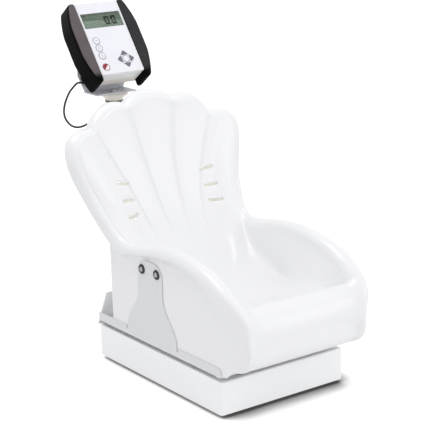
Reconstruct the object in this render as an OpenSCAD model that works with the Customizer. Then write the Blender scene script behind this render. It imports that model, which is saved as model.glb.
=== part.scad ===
// Baby weighing scale: a moulded scallop-back seat on a platform scale, with a
// battery weight indicator on a column behind the backrest.
// Millimetres, +Z up, the sitter faces -Y. The floor is z = 0 and the origin is
// the middle of the whole scale's footprint.

/* [Base] */
// Width of the base box
base_w = 305; // [280:1:340]
// Length of the base box, front to back
base_l = 437; // [410:1:470]
// Height of the base box's top above the floor
base_top = 75; // [72:0.5:90]
// Sheet thickness of the base box
base_wall = 2; // [1.5:0.1:3]
// Bend radius of the base box's upright corners
base_corner = 6; // [4:0.5:12]
// Bend radius of the base box's top edges
base_edge = 4; // [2.5:0.5:8]
// Thickness of the bottom plate
bottom_t = 3; // [2:0.5:5]
// Height of the base box's lower edge above the floor
foot_gap = 8; // [6:0.5:10]
// Diameter of each rubber foot
foot_d = 34; // [24:1:44]
// Distance of each foot from the base's sides
foot_inset = 34; // [26:1:60]

/* [Load cell] */
// Length of the load cell
cell_l = 150; // [130:1:180]
// Width of the load cell
cell_w = 40; // [30:1:60]
// Height of the load cell
cell_h = 26; // [22:1:30]
// Height of the spacer under the fixed end
cell_lift = 5; // [3:0.5:6]
// Travel left under the platform's post at rest
post_gap = 0.6; // [0.5:0.05:1]

/* [Deck] */
// Space between the base box and the deck
deck_gap = 10; // [7:0.5:14]
// Thickness of the deck's sheet
deck_t = 3; // [2:0.5:4]
// How much shorter the deck is than the base at its rear end
deck_short = 1; // [0.6:0.1:3]
// Thickness of the deck's side flanges and ears
flange_t = 2.2; // [1.5:0.1:2.8]
// Height of the side flanges above the deck's underside
flange_h = 18; // [14:0.5:24]
// Height of the ears above the deck's underside
ear_h = 176; // [160:1:185]
// Width of each ear at its screws
ear_w = 86; // [80:1:100]
// Width of each ear at its foot
ear_foot_w = 176; // [150:1:190]
// Fore and aft place of the ears
ear_y = 16.6; // [0:0.1:30]
// Distance between the two screws of an ear
ear_pitch = 52.2; // [46:0.1:56]
// Distance of the ear's screws from its top
ear_screw_drop = 20.6; // [18:0.1:26]

/* [Seat] */
// Wall thickness of the moulded seat
seat_wall = 4; // [3:0.25:5]
// Clearance between the seat and the deck's flanges
seat_gap = 0.3; // [0.2:0.1:0.6]
// Front edge of the seat's lower lip
seat_front = -262; // [-270:1:-256]
// Rear face of the seat's foot
seat_rear = 170; // [160:1:176]
// Height of the front lip's lower edge above the deck
lip_lift = 17; // [12:1:22]
// Height of the seat pan above the deck
pan_z = 105; // [96:1:112]
// How far the scallop lobes stand out of the rim
lobe_h = 17; // [10:0.5:20]
// How far the lobes swell between the grooves of the backrest
swell = 4; // [2:0.5:6]
// Length of a harness slot
slot_l = 31; // [26:1:36]
// Height of a harness slot
slot_h = 6.5; // [5:0.5:9]
// Distance of the harness slots' middles from the seat's middle
slot_x = 106.5; // [100:0.5:112]

/* [Column] */
// Outer diameter of the column
column_d = 38; // [32:1:42]
// Wall of the column
column_wall = 2; // [1.5:0.1:3]
// Distance of the swivel axis behind the base's middle
neck_y = 367; // [350:1:380]
// Height of the column's top
neck_z = 519; // [505:1:530]
// Angle by which the column leans back between its two mitres
column_lean = 20; // [16:0.5:24]
// Thickness of the column's foot plate
column_foot_t = 4; // [3:0.5:6]
// Height of the foot plate's top above the floor
column_foot_top = 141; // [130:1:150]

/* [Bracket] */
// Thickness of the swivel ring
ring_h = 4; // [3:0.5:6]
// Height of the flared collar
collar_h = 13.7; // [10:0.1:18]
// Thickness of the bracket's sheet
bracket_t = 3; // [2:0.5:4]
// Width of the bracket's level plate
bracket_w = 100; // [90:1:106]
// Depth of the bracket's level plate
bracket_l = 56; // [52:1:60]
// Height of the bracket's rear plate above the level plate
bracket_h = 60; // [54:1:64]

/* [Indicator] */
// Backward tilt of the indicator
head_tilt = 36.5; // [30:0.5:42]
// Width of the indicator's housing between its side rails
head_w = 108; // [104:1:114]
// Height of the indicator's housing
head_h = 176; // [168:1:184]
// Depth of the indicator's housing
head_d = 50; // [46:1:52]
// Wall of the indicator's housing
head_wall = 2.5; // [2:0.25:3.5]
// Widest reach of a side rail from the indicator's middle
rail_reach = 86; // [82:0.5:90]
// Radius of a side rail's bowed outer side
rail_bow = 261; // [230:1:300]
// Distance of the tilt axis behind the indicator's back
hinge_out = 10; // [9.5:0.5:12]
// Distance of the tilt axis above the indicator's lower end
hinge_up = 40; // [36:0.5:44]
// Diameter of the tilt pin
pin_d = 8; // [6:0.5:9]

/* [Display and keys] */
// Border at each side of the display window
lcd_side = 4; // [3.5:0.5:6]
// Height of the display window
lcd_h = 37; // [34:0.5:40]
// Distance of the display window from the housing's upper end
lcd_drop = 25; // [22:0.5:27]
// Diameter of the round keys
key_d = 17.4; // [14:0.2:17.8]
// Distance between the round keys of the left row
key_pitch = 18.7; // [18.4:0.1:20]
// Distance of the left key row from the housing's left side
key_inset = 18.5; // [17.5:0.5:20]
// Distance of the arrow pad's middle from the housing's right side
pad_inset = 34.4; // [32:0.1:36]
// Height of the arrow pad's middle on the front
pad_up = 32; // [30:0.5:36]
// Travel of a key
key_travel = 0.5; // [0.3:0.1:0.6]
// How far a key stands out of the front
key_rise = 0.8; // [0.6:0.1:1.2]
// Clearance round a key
key_gap = 0.35; // [0.3:0.05:0.5]

/* [Cable] */
// Diameter of the indicator's cable
cable_d = 4.4; // [4:0.1:5]

/* [Hidden] */
$fn = 64;
eps = 0.01;
fit = 0.3;          // clearance between pieces that don't touch
run = 0.05;         // radial clearance of a shaft that turns

// heights
deck_z = base_top + deck_gap;
deck_top = deck_z + deck_t;
plate_top = foot_gap + bottom_t;
cell_z = plate_top + cell_lift;
cell_top = cell_z + cell_h;
ring_top = neck_z + ring_h;
collar_z = ring_top + fit;
bracket_z = collar_z + collar_h;

// fore and aft, from the base's middle
base_back = base_l / 2;
deck_back = base_back - deck_short;
deck_front = -base_l / 2;
seat_side = base_w / 2 - flange_t - seat_gap;
foot_back = base_back + column_foot_t;

// the indicator's own frame: x across, y into the housing, z up its front
bolt_head = 5;
head_clear = 18;    // space between the level plate and the housing's lower rear edge
bracket_back = neck_y + 42;
bracket_front = bracket_back - bracket_l;
hinge_y = bracket_back - bracket_t - 10.4;
hinge_z = bracket_z + bracket_t + 44.3;
head_y = hinge_y - hinge_up * sin(head_tilt) - (head_d + hinge_out) * cos(head_tilt);
head_z = hinge_z - hinge_up * cos(head_tilt) + (head_d + hinge_out) * sin(head_tilt);

// middle of the whole footprint, from the base's middle
nose_y = seat_front - 38.65;
rail_top_v = head_h + 2;
centre_y = (nose_y + head_y + head_h * sin(head_tilt) + head_d * cos(head_tilt)) / 2;

module placed() translate([0, -centre_y, 0]) children();
module in_head() placed() translate([0, head_y, head_z]) rotate([-head_tilt, 0, 0]) children();

module both_sides() { children(); mirror([1, 0, 0]) children(); }
module at_corners(x, y) for (sx = [-1, 1], sy = [-1, 1]) translate([sx * x, sy * y, 0]) children();

// rectangle with round corners, made of squares and circles
module round_rect(w, l, r) {
  square([w - 2 * r, l], center = true);
  square([w, l - 2 * r], center = true);
  for (sx = [-1, 1], sy = [-1, 1]) translate([sx * (w / 2 - r), sy * (l / 2 - r)]) circle(r);
}

// upright rectangle whose two top corners are round
module arch_rect(w, h, r) {
  translate([-w / 2, 0]) square([w, h - r]);
  translate([-w / 2 + r, 0]) square([w - 2 * r, h]);
  for (s = [-1, 1]) translate([s * (w / 2 - r), h - r]) circle(r);
}

// box with round upright corners and round top edges
module bent_box(w, l, h, corner, edge) {
  intersection() {
    linear_extrude(h) round_rect(w, l, corner);
    rotate([90, 0, 0]) linear_extrude(2 * l, center = true) arch_rect(w, h, edge);
    rotate([90, 0, 90]) linear_extrude(2 * w, center = true) arch_rect(l, h, edge);
  }
}

module rod(d, h) cylinder(h = h, d = d);
module hex_rod(across, h) cylinder(h = h, d = across / cos(30), $fn = 6);

// ---------------------------------------------------------------- base

post_w = 60;        // platform post across
post_l = 46;        // platform post along
post_y = cell_l / 2 - post_l / 2;
cell_hole = 6;
corner_x = base_w / 2 - foot_inset;
corner_y = base_l / 2 - foot_inset;
stud_d = 8;
bolt_x = 95;        // column foot bolts, from the middle
bolt_z = [34, 60];

module base_housing() color("white") placed() difference() {
  translate([0, 0, foot_gap]) bent_box(base_w, base_l, base_top - foot_gap, base_corner, base_edge);
  translate([0, 0, foot_gap - 1])
    bent_box(base_w - 2 * base_wall, base_l - 2 * base_wall, base_top - foot_gap - base_wall + 1,
      base_corner - base_wall, base_edge - base_wall);
  // way through for the platform's post
  translate([0, post_y, base_top - base_wall - 1])
    linear_extrude(base_wall + 2) round_rect(post_w + 14, post_l + 14, 6);
  for (sx = [-1, 1], z = bolt_z) translate([sx * bolt_x, base_back - base_wall - 1, z])
    rotate([-90, 0, 0]) rod(6.4, base_wall + 2);
}

module bottom_plate() color("gainsboro") placed() difference() {
  translate([0, 0, foot_gap]) linear_extrude(bottom_t)
    round_rect(base_w - 2 * base_wall - 0.4, base_l - 2 * base_wall - 0.4, base_corner - base_wall);
  translate([0, 0, foot_gap - 1]) at_corners(corner_x, corner_y) rod(stud_d + 0.4, bottom_t + 2);
  for (s = [-1, 1]) translate([s * 12, -cell_l / 2 + 30, foot_gap - 1]) rod(cell_hole + 0.4, bottom_t + 2);
}

module corner_posts() color("silver") placed() at_corners(corner_x, corner_y)
  translate([0, 0, plate_top]) difference() {
    rod(18, base_top - base_wall - plate_top);
    translate([0, 0, -1]) rod(stud_d + 0.1, 31);
  }

module foot_studs() color("silver") placed() at_corners(corner_x, corner_y) {
  translate([0, 0, foot_gap - 2]) rod(stud_d, 28);
  translate([0, 0, foot_gap - 2]) rod(13, 2);
}

module feet() color("dimgray") placed() at_corners(corner_x, corner_y)
  rotate_extrude() polygon([[0, 0], [foot_d / 2 - 1.5, 0], [foot_d / 2, 1.5],
    [foot_d / 2 - 3, foot_gap - 2], [0, foot_gap - 2]]);

module load_cell() color("lightgray") placed() difference() {
  translate([-cell_w / 2, -cell_l / 2, cell_z]) cube([cell_w, cell_l, cell_h]);
  // the two joined bores that make the beam bend
  for (s = [-1, 1]) translate([0, s * 14, cell_z + cell_h / 2]) rotate([0, 90, 0])
    cylinder(h = cell_w + 2, r = cell_h / 2 - 3, center = true);
  translate([0, 0, cell_z + cell_h / 2]) cube([cell_w + 2, 30, 6], center = true);
  for (s = [-1, 1]) translate([s * 12, -cell_l / 2 + 30, cell_z - 1]) rod(cell_hole + 0.1, 16);
}

module cell_spacer() color("silver") placed() difference() {
  translate([-cell_w / 2, -cell_l / 2, plate_top]) cube([cell_w, 45, cell_lift]);
  for (s = [-1, 1]) translate([s * 12, -cell_l / 2 + 30, plate_top - 1]) rod(cell_hole + 0.4, cell_lift + 2);
}

module cell_bolts() color("dimgray") placed() for (s = [-1, 1])
  translate([s * 12, -cell_l / 2 + 30, foot_gap - 4]) {
    rod(cell_hole, 16);
    hex_rod(10, 4);
  }

module overload_screw() color("silver") placed() translate([0, cell_l / 2 - 16, plate_top]) {
  rod(8, cell_lift - 1.5);
  hex_rod(13, 2);
}

// ---------------------------------------------------------------- column

// plate that carries the column, on the base's rear face
module column_foot() color("whitesmoke") placed() {
  difference() {
    translate([0, foot_back, 0]) rotate([90, 0, 0]) linear_extrude(column_foot_t)
      polygon([[-120, 18], [120, 18], [120, base_top - 4], [base_w / 2 + 2.5, base_top + 1],
        [base_w / 2 - 22, column_foot_top], [-base_w / 2 + 22, column_foot_top],
        [-base_w / 2 - 2.5, base_top + 1], [-120, base_top - 4]]);
    for (sx = [-1, 1], z = bolt_z) translate([sx * bolt_x, base_back - 1, z])
      rotate([-90, 0, 0]) rod(6.4, column_foot_t + 2);
  }
  // two cheeks that hold the column
  both_sides() difference() {
    translate([column_d / 2 + 0.1, foot_back, 0]) rotate([90, 0, 90]) linear_extrude(4)
      polygon([[0, 26], [column_d + 1, 26], [column_d + 1, 108], [14, column_foot_top - 4],
        [0, column_foot_top - 4]]);
    for (z = cheek_z) translate([0, column_y, z]) rotate([0, 90, 0]) rod(8.4, column_d);
  }
}

module column_foot_bolts() color("silver") placed() for (sx = [-1, 1], z = bolt_z)
  translate([sx * bolt_x, base_back - base_wall - 6, z]) rotate([-90, 0, 0]) {
    rod(6, base_wall + column_foot_t + 6);
    hex_rod(10, 5.9);
    translate([0, 0, base_wall + column_foot_t + 6]) hex_rod(10, 4);
  }

column_y = foot_back + column_d / 2 + 1;
column_base = 26;
cheek_z = [44, 88];
top_l = 44;
column_turn_z = neck_z - top_l - (neck_y - column_y) / tan(column_lean);

// all that lies beyond a mitre of the column whose middle is at y, z
module beyond(y, z, lap) translate([0, y, z]) rotate([-column_lean / 2, 0, 0])
  translate([-100, -100, lap]) cube(200);
// The column's path in three runs that meet at mitres, with a round section of
// diameter d. The runs overlap there by twice the lap.
module column_path(d, over, lap) {
  difference() {
    translate([0, column_y, column_base - over]) rod(d, column_turn_z - column_base + over + d);
    beyond(column_y, column_turn_z, lap);
  }
  difference() {
    translate([0, column_y, column_turn_z]) rotate([-column_lean, 0, 0]) translate([0, 0, -d])
      rod(d, (neck_y - column_y) / sin(column_lean) + 2 * d);
    before(column_y, column_turn_z, lap);
    beyond(neck_y, neck_z - top_l, lap);
  }
  difference() {
    translate([0, neck_y, neck_z - top_l - d]) rod(d, top_l + over + d);
    before(neck_y, neck_z - top_l, lap);
  }
}
// all that lies before a mitre
module before(y, z, lap) translate([0, y, z]) rotate([-column_lean / 2, 0, 0])
  translate([-100, -100, -200 - lap]) cube(200);

module column() color("white") placed() difference() {
  column_path(column_d, 0, 0);
  column_path(column_d - 2 * column_wall, 1, 0.1);
  for (z = cheek_z) translate([-column_d, column_y, z]) rotate([0, 90, 0]) rod(8.4, 2 * column_d);
  translate([-column_d, neck_y, grommet_z]) rotate([0, 90, 0]) rod(9, column_d);
}

module column_bolts() color("silver") placed() for (z = cheek_z)
  translate([-column_d / 2 - 4.1 - 5, column_y, z]) rotate([0, 90, 0]) {
    rod(8, column_d + 22);
    hex_rod(13, 5);
    translate([0, 0, column_d + 8.2 + 5]) hex_rod(13, 6);
  }

module column_plug() color("dimgray") placed() translate([0, neck_y, neck_z - 16]) difference() {
  rod(column_d - 2 * column_wall - 0.1, 16);
  translate([0, 0, -1]) rod(swivel_d + 2 * run, 18);
}

swivel_d = 10;
module swivel_ring() color("dimgray") placed() translate([0, neck_y, neck_z]) difference() {
  rod(column_d + 2, ring_h);
  translate([0, 0, -1]) rod(swivel_d + 2 * run, ring_h + 2);
}

grommet_z = 488;
module cable_grommet() color("black") placed() translate([-column_d / 2 - 2.5, neck_y, grommet_z])
  rotate([0, 90, 0]) difference() {
    union() {
      rod(12, 2.3);
      rod(8.8, 5.5);
    }
    translate([0, 0, -1]) rod(cable_d + 0.2, 8);
  }

// ---------------------------------------------------------------- deck

ear_top = deck_z + ear_h;
ear_screw_z = ear_top - ear_screw_drop;

// outline of one flange and its ear, y across and z up
module flange_outline() {
  flange_top = deck_z + flange_h;
  corner = 30;
  difference() {
    union() {
      translate([deck_front + 10, deck_z]) square([deck_back - deck_front - 10, flange_h]);
      translate([deck_front, deck_z]) square([20, flange_h - 10]);
      translate([deck_front + 10, flange_top - 10]) circle(10);
      translate([ear_y, deck_z + 100]) arch_rect(ear_w, ear_h - 100, corner);
      polygon([for (p = concat(ear_side, [for (i = [len(ear_side) - 1:-1:0]) [-ear_side[i][0], ear_side[i][1]]]))
        [ear_y + p[0], deck_z + p[1]]]);
    }
    // relief notches at the ear's foot
    for (s = [-1, 1]) translate([ear_y + s * (ear_foot_w / 2 + 3), flange_top - 3]) square([5, 8], center = true);
  }
}
// right side of the ear below its screws, from the flange up
ear_side = concat([[ear_foot_w / 2, flange_h - 1]],
  [for (t = [0:0.125:1]) let (u = t * t * (3 - 2 * t))
    [ear_foot_w / 2 + (ear_w - ear_foot_w) / 2 * u, 24 + 82 * t]]);

module deck() color([0.82, 0.82, 0.84]) placed() {
  difference() {
    translate([-base_w / 2, deck_front, deck_z]) cube([base_w, deck_back - deck_front, deck_t]);
    translate([0, post_y, deck_z - 1]) at_corners(post_w / 2 - 9, post_l / 2 - 9) rod(6.4, deck_t + 2);
    at_corners(seat_screw_x, seat_screw_y) translate([0, 0, deck_z - 1]) rod(5.4, deck_t + 2);
  }
  both_sides() difference() {
    translate([base_w / 2 - flange_t, 0, 0]) rotate([90, 0, 90]) linear_extrude(flange_t)
      flange_outline();
    translate([base_w / 2 - flange_t - 1, 0, 0]) at_ear_screws() rod(6.6, flange_t + 2);
  }
}

module at_ear_screws() for (s = [-1, 1])
  translate([0, ear_y + s * ear_pitch / 2, ear_screw_z]) rotate([0, 90, 0]) children();

post_top = deck_z;
module platform_post() color("silver") placed() difference() {
  translate([0, post_y, cell_top + post_gap]) linear_extrude(post_top - cell_top - post_gap)
    round_rect(post_w, post_l, 5);
  translate([0, post_y, post_top - 16]) at_corners(post_w / 2 - 9, post_l / 2 - 9) rod(6.1, 17);
}

module post_screws() color("dimgray") placed() translate([0, post_y, 0])
  at_corners(post_w / 2 - 9, post_l / 2 - 9) {
    translate([0, 0, post_top - 15]) rod(6, 15 + deck_t);
    translate([0, 0, deck_top]) rod(11, 3);
  }

module ear_washers() color("black") placed() both_sides()
  translate([base_w / 2, 0, 0]) at_ear_screws() rotate_extrude()
    polygon([[3.4, 0], [10, 0], [10, 1.6], [8.4, 3], [6.6, 3], [6.6, 1.2], [3.4, 1.2]]);

module ear_screws() color("silver") placed() both_sides()
  translate([base_w / 2 + 1.2, 0, 0]) at_ear_screws() {
    rotate_extrude() polygon([[0, 0], [5.5, 0], [5.5, 1.4], [4.4, 2.7], [2.2, 3.2], [0, 3.2]]);
    mirror([0, 0, 1]) rod(6, 18);
  }

module ear_nuts() color("gold") placed() both_sides()
  translate([seat_side - seat_wall - 8.3, 0, 0]) at_ear_screws() difference() {
    union() {
      rod(10, 8);
      translate([0, 0, 6]) rod(16, 2);
    }
    translate([0, 0, -1]) rod(6.1, 10);
  }

seat_screw_x = seat_side - 8;
seat_screw_y = 120;
module seat_screws() color("dimgray") placed() at_corners(seat_screw_x, seat_screw_y) {
  translate([0, 0, deck_z]) rod(5, deck_t + seat_wall + 6);
  translate([0, 0, deck_z - 3]) rod(9, 3);
}

// ---------------------------------------------------------------- seat

// Stations of the seat's rim for one side, from the front's middle round to the
// top's middle. Each is [x, y, z] of the rim's crest, with x for a seat 300 mm
// wide and z above the deck, then the rim's radius, the lean of its crest
// from upright towards the side, the turn of its outer face from the side
// towards the back, and the angle it sweeps on its inner face.
RIM = [
  [  0, -246, 132, 44,  0, -90, 15],
  [ 60, -248, 133, 44,  0, -90, 18],
  [106, -258, 136, 38,  0, -80, 32],
  [134, -274, 146, 29,  0, -62, 50],
  [145, -259, 165, 21,  0, -40, 65],
  [150, -223, 188, 18,  0, -15, 78],
  [151, -170, 207, 17,  0,  -5, 85],
  [151,  -96, 218, 16,  2,   0, 88],
  [151,  -20, 215, 15,  6,   5, 88],
  [157,   48, 202, 15, 14,  25, 88],
  [166,   96, 199, 17, 30,  42, 88],
  [176,  134, 214, 19, 50,  60, 88],
  [186,  162, 243, 20, 68,  76, 89],
  [193,  183, 277, 20, 78,  86, 90],
  [200,  196, 312, 20, 82,  90, 90],
  [204,  206, 349, 20, 78,  90, 90],
  [199,  214, 380, 20, 60,  90, 90],
  [179,  224, 399, 20, 38,  90, 90],
  [151,  234, 411, 20, 24,  90, 90],
  [106,  239, 436, 20, 20,  90, 90],
  [ 60,  242, 451, 20, 12,  90, 90],
  [  0,  246, 457, 20,  0,  90, 90]
];
LAST = len(RIM) - 1;
// stations of the outer lobe's lower end and top, and of where the lobes meet
WING = 11.4;
LOBE_A = 16.2;
LOBE_B = 18;
LOBE_C = 20;
WIDE = seat_side / 150;
POLE = [0, -30, pan_z - 4];

// the station after a mirror at either end
function over_end(s) = [-s[0], s[1], s[2], s[3], -s[4], s[5], s[6]];
function rim_at(i) = i < 0 ? over_end(RIM[-i]) : i > LAST ? over_end(RIM[2 * LAST - i]) : RIM[i];
// smooth curve through the stations
function rim(k) = let (i = min(floor(k), LAST - 1), f = k - i,
    a = rim_at(i - 1), b = rim_at(i), c = rim_at(i + 1), d = rim_at(i + 2))
  0.5 * (2 * b + (c - a) * f + (2 * a - 5 * b + 4 * c - d) * f * f + (3 * b - 3 * c + d - a) * f * f * f);
function unit(v) = v / norm(v);
function clamp(v, lo, hi) = min(max(v, lo), hi);
function mix(a, b, t) = a + (b - a) * t;

// height of the scallop over the rim, 0 where two lobes meet; the outer lobe
// rises smoothly out of the wing
function arc_wave(k, from, to) = pow(max(0, sin(180 * (k - from) / (to - from))), 0.75);
function smooth(t) = t * t * (3 - 2 * t);
function lobe(k) = k <= LOBE_A ? smooth(clamp((k - WING) / (LOBE_A - WING), 0, 1))
  : k <= LOBE_B ? arc_wave(k, 2 * LOBE_A - LOBE_B, LOBE_B)
  : k <= LOBE_C ? arc_wave(k, LOBE_B, LOBE_C) : arc_wave(k, LOBE_C, 2 * LAST - LOBE_C);

// backrest's face: a parabola in profile that comes forward at its sides
function face_y(x, z) = 223 - 0.00138 * pow(457 - z, 2) - 18 * pow(abs(x) / 170, 2.2);

foot_rim = 14;      // width of the seat's inward foot
// outline of the seat's foot, traced evenly between the stations
function foot_at(k) = k < 5 ? [seat_side * pow(sin(18 * k), 0.3), seat_front + 57 - 57 * pow(cos(18 * k), 0.3)]
  : k < 12 ? [seat_side, mix(seat_front + 57, seat_rear - 12, (rim(k)[1] - RIM[5][1]) / (RIM[12][1] - RIM[5][1]))]
  : [seat_side * pow(cos(10 * (k - 12)), 0.35), seat_rear - 12 + 12 * pow(sin(10 * (k - 12)), 0.5)];
function foot_lift(k) = lip_lift * clamp((4.4 - k) / 0.4, 0, 1);
pan_mid = -35;
// outline of the pan, where the bucket's walls start
function pan_at(k) = let (a = 180 * k / LAST)
  [119 * WIDE * pow(abs(sin(a)), a < 90 ? 0.6 : 1), pan_mid - 108 * cos(a), pan_z + 4 * clamp((k - 9) / 9, 0, 1)];

// uniform cubic b-spline that starts and ends at its end points
function spline(p, t) = let (q = concat([p[0], p[0]], p, [p[len(p) - 1], p[len(p) - 1]]),
    m = len(q) - 3, i = min(floor(t * m), m - 1), f = t * m - i)
  (pow(1 - f, 3) * q[i] + (3 * f * f * f - 6 * f * f + 4) * q[i + 1]
    + (3 * f * f + 3 * f + 1 - 3 * f * f * f) * q[i + 2] + f * f * f * q[i + 3]) / 6;

// point at t on the cubic curve with ends a and d
function bezier(a, b, c, d, t) = pow(1 - t, 3) * a + 3 * t * (1 - t) * ((1 - t) * b + t * c) + t * t * t * d;

KNEE_ROWS = 3;
OUTER_ROWS = 2;
ARC_ROWS = 6;
INNER_ROWS = 9;
FIRST_INNER = KNEE_ROWS + OUTER_ROWS + ARC_ROWS + 3;

// One section of the seat at station k: from the foot's inner edge, under the
// foot, round the knee to the hip, up the outer wall, over the rim and down the
// bucket towards the pole.
function section(k) = let (
    s = rim(k), back = clamp(s[5] / 90, 0, 1),
    up = unit([sin(s[4]), 0.38 * back * cos(s[4]), cos(s[4])]),
    out0 = [cos(s[5]), sin(s[5]), -0.38 * back], out = unit(out0 - (out0 * up) * up),
    r = s[3], crest = [s[0] * WIDE, s[1], s[2]] + up * lobe_h * lobe(k), mid = crest - r * up,
    outer = mid + r * out, inner = mid + r * (up * cos(s[6]) - out * sin(s[6])),
    away = -(up * sin(s[6]) + out * cos(s[6])),
    f = foot_at(k), nose = exp(-pow((k - 2.8) / 0.9, 2)),
    foot = [f[0], f[1], foot_lift(k)],
    // the side stays flat up to the hip, which clears the deck's ear
    flat = clamp(min((k - 5) / 1.5, (11 - k) / 1.5), 0, 1),
    hip = [f[0] + 4 * nose, f[1] - (28 + 18 * nose) * clamp((5 - k) / 1.2, 0, 1) + 4 * clamp(k - 11, 0, 1),
      min(mix(mix(60, 118, clamp((k - 3.6) / 3.4, 0, 1)), ear_h - deck_t + 2, flat), outer[2] - 6)],
    reach = norm(outer - hip) / 3,
    c = pan_at(k), l = norm(c - inner),
    narrow = clamp((k - 13) / 4, 0, 1),
    w = [inner + away * l * 0.14, mix(inner, c, 0.5), mix(inner, c, 0.82)],
    thin = [1, 1 - 0.22 * narrow, 1 - 0.1 * narrow],
    bucket = concat([inner],
      [for (i = [0:2]) let (x = w[i][0] * thin[i]) [x, mix(w[i][1], face_y(x, w[i][2]), back), w[i][2]]],
      [c, [c[0] / 2, (c[1] + POLE[1]) / 2, POLE[2]], POLE])
  ) concat(
    [[f[0] * (1 - foot_rim / seat_side), mix(seat_front + 52, seat_rear - foot_rim, (f[1] - seat_front) / (seat_rear - seat_front)), 0]],
    [foot],
    [for (i = [1:KNEE_ROWS]) let (a = 90 * i / KNEE_ROWS)
      [mix(foot[0], hip[0], sin(a)), mix(foot[1], hip[1], sin(a)), mix(foot[2], hip[2], 1 - cos(a))]],
    [for (t = [1:OUTER_ROWS]) bezier(hip, hip + [0, 0, reach], outer - reach * up, outer, t / (OUTER_ROWS + 1))],
    [for (j = [0:ARC_ROWS]) let (a = mix(90, -s[6], j / ARC_ROWS)) mid + r * (up * cos(a) + out * sin(a))],
    [for (j = [1:INNER_ROWS - 1]) rounded(spline(bucket, j / INNER_ROWS), clamp(j / 2.7, 0, 1))]);

// rounds the bucket off between the arms and the backrest, to a superellipse of
// power 5, by the share t
function rounded(p, t) = let (
    wide = abs(p[0]) / ((138 + 52 * clamp((p[2] - 210) / 110, 0, 1)) * WIDE),
    deep = max(p[1] - pan_mid, 0) / (258 - 0.00138 * pow(457 - p[2], 2)),
    pull = (min(pow(pow(wide, 5) + pow(deep, 5) + 1e-9, -0.2), 1) - 1) * t
      * clamp((235 - p[2]) / 60, 0, 1) * clamp((p[2] - pan_z) / 50, 0, 1)
  ) [p[0] * (1 + pull), p[1] + (p[1] - pan_mid) * pull, p[2]];

// the bucket's rows at the wings, each point drawn n times towards the middle of
// its four neighbours
function eased(g, n) = n == 0 ? g : eased([for (i = [0:len(g) - 1]) [for (j = [0:len(g[0]) - 1]) let (
    k = HALF[i], row = j - FIRST_INNER + 1,
    free = i == 0 || i == len(g) - 1 || j < FIRST_INNER || j == len(g[0]) - 1 ? 0
      : clamp((k - 8) / 2, 0, 1) * clamp((16.5 - k) / 2, 0, 1) * clamp(row / 1.5, 0, 1) * clamp((9 - row) / 3, 0, 1)
  ) free == 0 ? g[i][j] : mix(g[i][j], (g[i - 1][j] + g[i + 1][j] + g[i][j - 1] + g[i][j + 1]) / 4, 0.9 * free)]], n - 1);

// the lobes stand forward of the grooves between them, above the harness slots
function swollen(p, k, j) = p - [0, j < FIRST_INNER ? 0
  : swell * lobe(k) * clamp((p[2] - 200) / 150, 0, 1) * clamp((j - FIRST_INNER + 1) / 1.2, 0, 1), 0];

HALF = concat([for (i = [0:19]) 14.4 * i / 20], [for (i = [0:7]) mix(14.4, LOBE_B, i / 8)],
  [for (i = [0:7]) mix(LOBE_B, LOBE_C, i / 8)], [for (i = [0:4]) mix(LOBE_C, LAST, i / 4)]);
n_half = len(HALF);
bare_net = eased([for (k = HALF) section(k)], 4);
half_net = [for (i = [0:n_half - 1]) [for (j = [0:len(bare_net[0]) - 1]) swollen(bare_net[i][j], HALF[i], j)]];
net = concat(half_net, [for (i = [n_half - 2:-1:1]) [for (p = half_net[i]) [-p[0], p[1], p[2]]]]);
n_cols = len(net);
n_rows = len(net[0]);

function net_at(i, j) = j >= n_rows ? POLE : net[(i + n_cols) % n_cols][max(j, 0)];
function outward(i, j) = unit(cross(net_at(i + 1, j) - net_at(i - 1, j), net_at(i, j + 1) - net_at(i, j - 1)));

module seat_shell() {
  inner_net = [for (i = [0:n_cols - 1]) [for (j = [0:n_rows - 1]) net[i][j] - seat_wall * outward(i, j)]];
  skin = n_cols * n_rows;
  points = concat([for (c = net) for (p = c) p], [for (c = inner_net) for (p = c) p],
    [POLE, POLE - [0, 0, seat_wall]]);
  tip = 2 * skin;
  faces = [for (i = [0:n_cols - 1]) let (n = (i + 1) % n_cols, a = i * n_rows, b = n * n_rows)
    each concat(
      [for (j = [0:n_rows - 2]) each [[a + j, a + j + 1, b + j + 1], [a + j, b + j + 1, b + j]]],
      [for (j = [0:n_rows - 2]) each [[skin + a + j, skin + b + j + 1, skin + a + j + 1],
        [skin + a + j, skin + b + j, skin + b + j + 1]]],
      [[a + n_rows - 1, tip, b + n_rows - 1], [skin + a + n_rows - 1, skin + b + n_rows - 1, tip + 1],
        [a, b, skin + b], [a, skin + b, skin + a]])];
  polyhedron(points, faces);
}

// harness slots: height above the deck and slope of each pair
SLOTS = [[296, 10], [263, 6], [233, 3]];
module slot_cut() for (s = SLOTS) both_sides() translate([slot_x * WIDE, 0, s[0]]) rotate([0, -s[1], 0])
  rotate([-90, 0, 0]) linear_extrude(400) round_rect(slot_l, slot_h, slot_h / 2 - eps);

module seat() color([0.95, 0.95, 0.96]) placed() difference() {
  translate([0, 0, deck_top]) difference() {
    seat_shell();
    slot_cut();
  }
  both_sides() translate([seat_side - 10, 0, 0]) at_ear_screws() rod(6.6, 20);
  at_corners(seat_screw_x, seat_screw_y) translate([0, 0, deck_z]) rod(5.1, 20);
}

// ---------------------------------------------------------------- bracket

swivel_bolt_z = bracket_z + bracket_t;
module swivel_collar() color("linen") placed() translate([0, neck_y, collar_z]) difference() {
  rotate_extrude() polygon([[0, 0], [column_d / 2 + 1, 0], [column_d / 2 + 1, 3],
    [column_d / 2 + 12, collar_h - 2.5], [column_d / 2 + 12, collar_h], [0, collar_h]]);
  translate([0, 0, -1]) rod(swivel_d + 0.1, collar_h + 2);
}

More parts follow.
